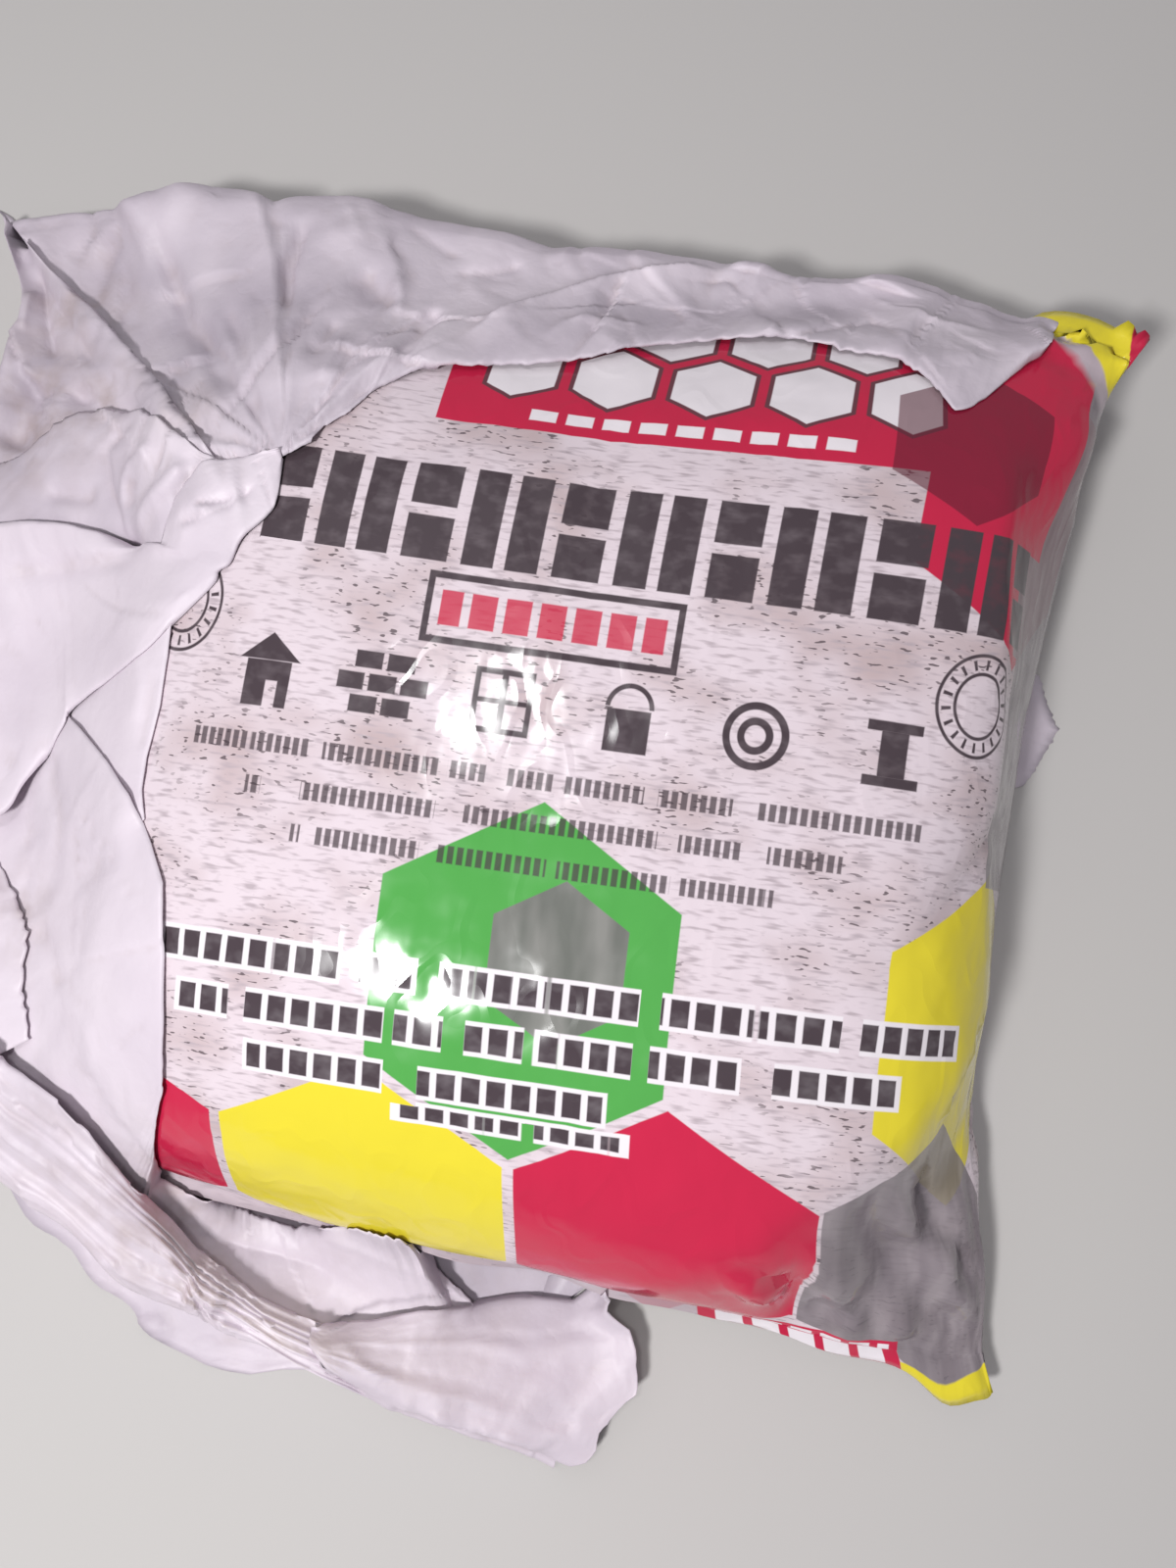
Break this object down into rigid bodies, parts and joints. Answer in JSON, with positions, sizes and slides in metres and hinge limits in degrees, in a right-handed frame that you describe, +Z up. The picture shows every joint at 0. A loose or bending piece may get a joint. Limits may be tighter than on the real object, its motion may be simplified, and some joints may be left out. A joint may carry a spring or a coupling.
{
  "type": "cement bag",
  "caption": "Filled cement pouch of printed film lying flat in a torn white outer sack that folds over its top and left side.",
  "frame": {"origin": "on the flat underside of the outer sack, below the middle of the pouch", "axes": "+Z up; +Y along the pouch towards the top end of its print; +X to the right across it"},
  "size_m": [0.3601, 0.3767, 0.0828],
  "materials": {
    "printed_film": "glossy printed film, wrinkled over a filling of cement",
    "white_sack": "soft satin white film, creased and torn"
  },
  "bodies": {
    "root": {"printed_pouch": "printed_film", "outer_sack": "white_sack"}
  },
  "joints": []
}
